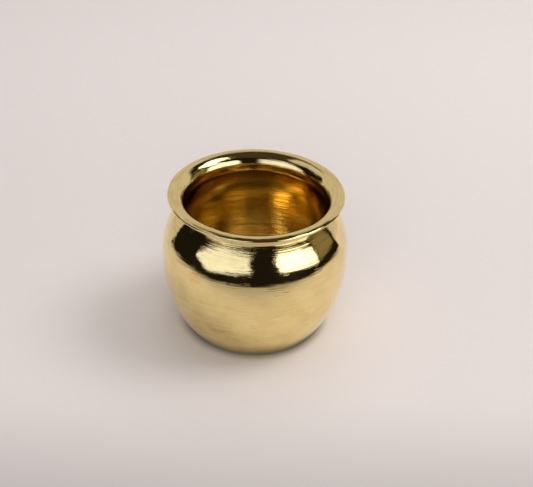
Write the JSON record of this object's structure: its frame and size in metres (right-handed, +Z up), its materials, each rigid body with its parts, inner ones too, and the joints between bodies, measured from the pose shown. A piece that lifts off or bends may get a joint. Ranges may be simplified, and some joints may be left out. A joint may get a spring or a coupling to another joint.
{
  "type": "brass kalash pot",
  "caption": "Small squat brass pot with a round belly, a short neck and a broad flared lip, open at the top and resting on a flat base.",
  "frame": {"origin": "centre of the flat underside, on the surface that the pot stands on", "axes": "+Z up along the pot's axis; the pot is round, so X and Y are free"},
  "size_m": [0.078, 0.078, 0.063],
  "materials": {
    "brass_bowl": "polished, with fine lathe marks round the axis and deeper turning marks inside",
    "brass_shoulder": "polished, with fine lathe marks round the axis",
    "brass_mouth": "brightly polished flare, with fine lathe marks round the axis",
    "braze_filler": "turned flush and polished with the brass round it"
  },
  "bodies": {
    "root": {"lower_bowl": "brass_bowl", "belly_braze": "braze_filler", "shoulder_shell": "brass_shoulder", "neck_braze": "braze_filler", "mouth_ring": "brass_mouth"}
  },
  "joints": []
}
